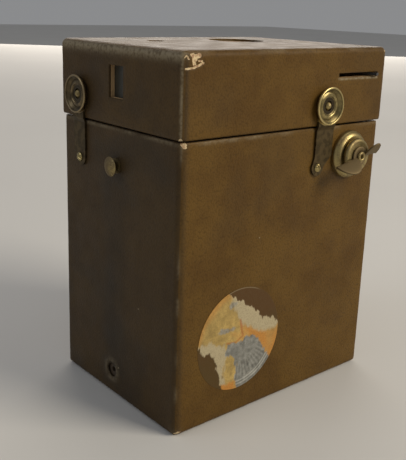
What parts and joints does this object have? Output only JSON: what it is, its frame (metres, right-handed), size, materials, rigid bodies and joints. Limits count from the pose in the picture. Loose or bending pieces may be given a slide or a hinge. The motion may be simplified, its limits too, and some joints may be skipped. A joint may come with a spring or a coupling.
{
  "type": "box camera",
  "caption": "Small leather-covered wooden roll-film box camera with a pull-off front held by spring clasps, a winding key, a shutter lever and a finder.",
  "frame": {"origin": "middle of the flat back face that the camera stands on", "axes": "+Z along the lens axis from the back to the front, -Y out of the wide side with the winding key, -X out of the narrow side with the finder window"},
  "size_m": [0.0796, 0.0653, 0.1016],
  "materials": {
    "leather_cover": "brown-black morocco-grained leather cloth, worn at the edges",
    "case_wood": "thin raw hardwood, blackened inside",
    "aged_brass": "old lacquered brass, dulled",
    "screw_brass": "small brass screws, worn bright",
    "label_paper": "torn varnished paper over silver foil",
    "red_glass": "dark red glass",
    "black_metal": "blackened metal",
    "black_card": "black card",
    "optical_glass": "polished glass",
    "ground_glass": "ground glass",
    "mirror_glass": "silvered glass",
    "spool_wood": "turned wood",
    "tin": "tinned steel"
  },
  "bodies": {
    "case": {"rear_case": "case_wood", "case_leather": "leather_cover", "back_leather": "leather_cover", "side_label": "label_paper", "red_window": "red_glass", "red_window_eyelet": "black_metal", "mouth_frame": "case_wood", "side_clasp_foot": "aged_brass", "end_clasp_foot": "aged_brass", "clasp_screws": "screw_brass", "strap_stud": "aged_brass", "key_flange": "aged_brass", "key_bush": "aged_brass", "carrier_board_near": "case_wood", "carrier_board_far": "case_wood", "carrier_ties": "case_wood", "cone": "black_card", "film_gate": "black_metal", "spool_pins": "tin", "supply_brake": "tin"},
    "front_section": {"front_case": "case_wood", "front_leather": "leather_cover", "clasp_studs": "screw_brass", "lens_board": "case_wood", "lens_cell": "aged_brass", "lens_glass": "optical_glass", "lens_ring": "aged_brass", "aperture_stop": "black_metal", "shutter_pivot": "aged_brass", "shutter_stops": "aged_brass", "shutter_spring": "tin", "shutter_spring_post": "aged_brass", "finder_lens": "optical_glass", "finder_screen": "ground_glass", "finder_mirror": "mirror_glass", "finder_box": "black_metal"},
    "side_clasp": {"side_clasp_spring": "aged_brass"},
    "end_clasp": {"end_clasp_spring": "aged_brass"},
    "key_collar_body": {"key_collar": "aged_brass"},
    "winding_key": {"key_wing": "aged_brass", "key_shaft": "aged_brass"},
    "takeup_spool": {"takeup_spool_core": "spool_wood", "takeup_spool_flanges": "tin"},
    "supply_spool": {"supply_spool_core": "spool_wood", "supply_spool_flanges": "tin"},
    "takeup_roller": {"takeup_guide_roller": "tin"},
    "supply_roller": {"supply_guide_roller": "tin"},
    "shutter": {"shutter_blade": "black_metal"}
  },
  "joints": [
    {"name": "front_pull", "type": "slide", "parent": "case", "child": "front_section", "axis": [0, 0, 1], "range_m": [0, 0.11]},
    {"name": "side_clasp_flex", "type": "hinge", "parent": "case", "child": "side_clasp", "pos_m": [0.013, -0.0284, 0.0745], "axis": [1, 0, 0], "range_deg": [0, 10], "stiffness_Nm_per_rad": 0.3},
    {"name": "end_clasp_flex", "type": "hinge", "parent": "case", "child": "end_clasp", "pos_m": [-0.0387, 0.0178, 0.0745], "axis": [0, -1, 0], "range_deg": [0, 10], "stiffness_Nm_per_rad": 0.3},
    {"name": "key_turn", "type": "hinge", "parent": "case", "child": "key_collar_body", "pos_m": [0.0242, -0.0278, 0.071], "axis": [0, -1, 0], "continuous": true},
    {"name": "key_draw", "type": "slide", "parent": "key_collar_body", "child": "winding_key", "axis": [0, -1, 0], "range_m": [0, 0.0065]},
    {"name": "takeup_turn", "type": "hinge", "parent": "case", "child": "takeup_spool", "pos_m": [0.0242, 0, 0.071], "axis": [0, -1, 0], "continuous": true},
    {"name": "supply_turn", "type": "hinge", "parent": "case", "child": "supply_spool", "pos_m": [-0.0242, 0, 0.071], "axis": [0, -1, 0], "continuous": true},
    {"name": "takeup_roller_turn", "type": "hinge", "parent": "case", "child": "takeup_roller", "pos_m": [0.0276, 0, 0.0074], "axis": [0, -1, 0], "continuous": true},
    {"name": "supply_roller_turn", "type": "hinge", "parent": "case", "child": "supply_roller", "pos_m": [-0.0276, 0, 0.0074], "axis": [0, -1, 0], "continuous": true},
    {"name": "shutter_swing", "type": "hinge", "parent": "front_section", "child": "shutter", "pos_m": [0.0259, -0.008, 0.0939], "axis": [0, 0, 1], "range_deg": [-38, 0]}
  ],
  "couplings": [
    {"joint": "takeup_turn", "follows": "key_turn", "ratio": 1}
  ]
}
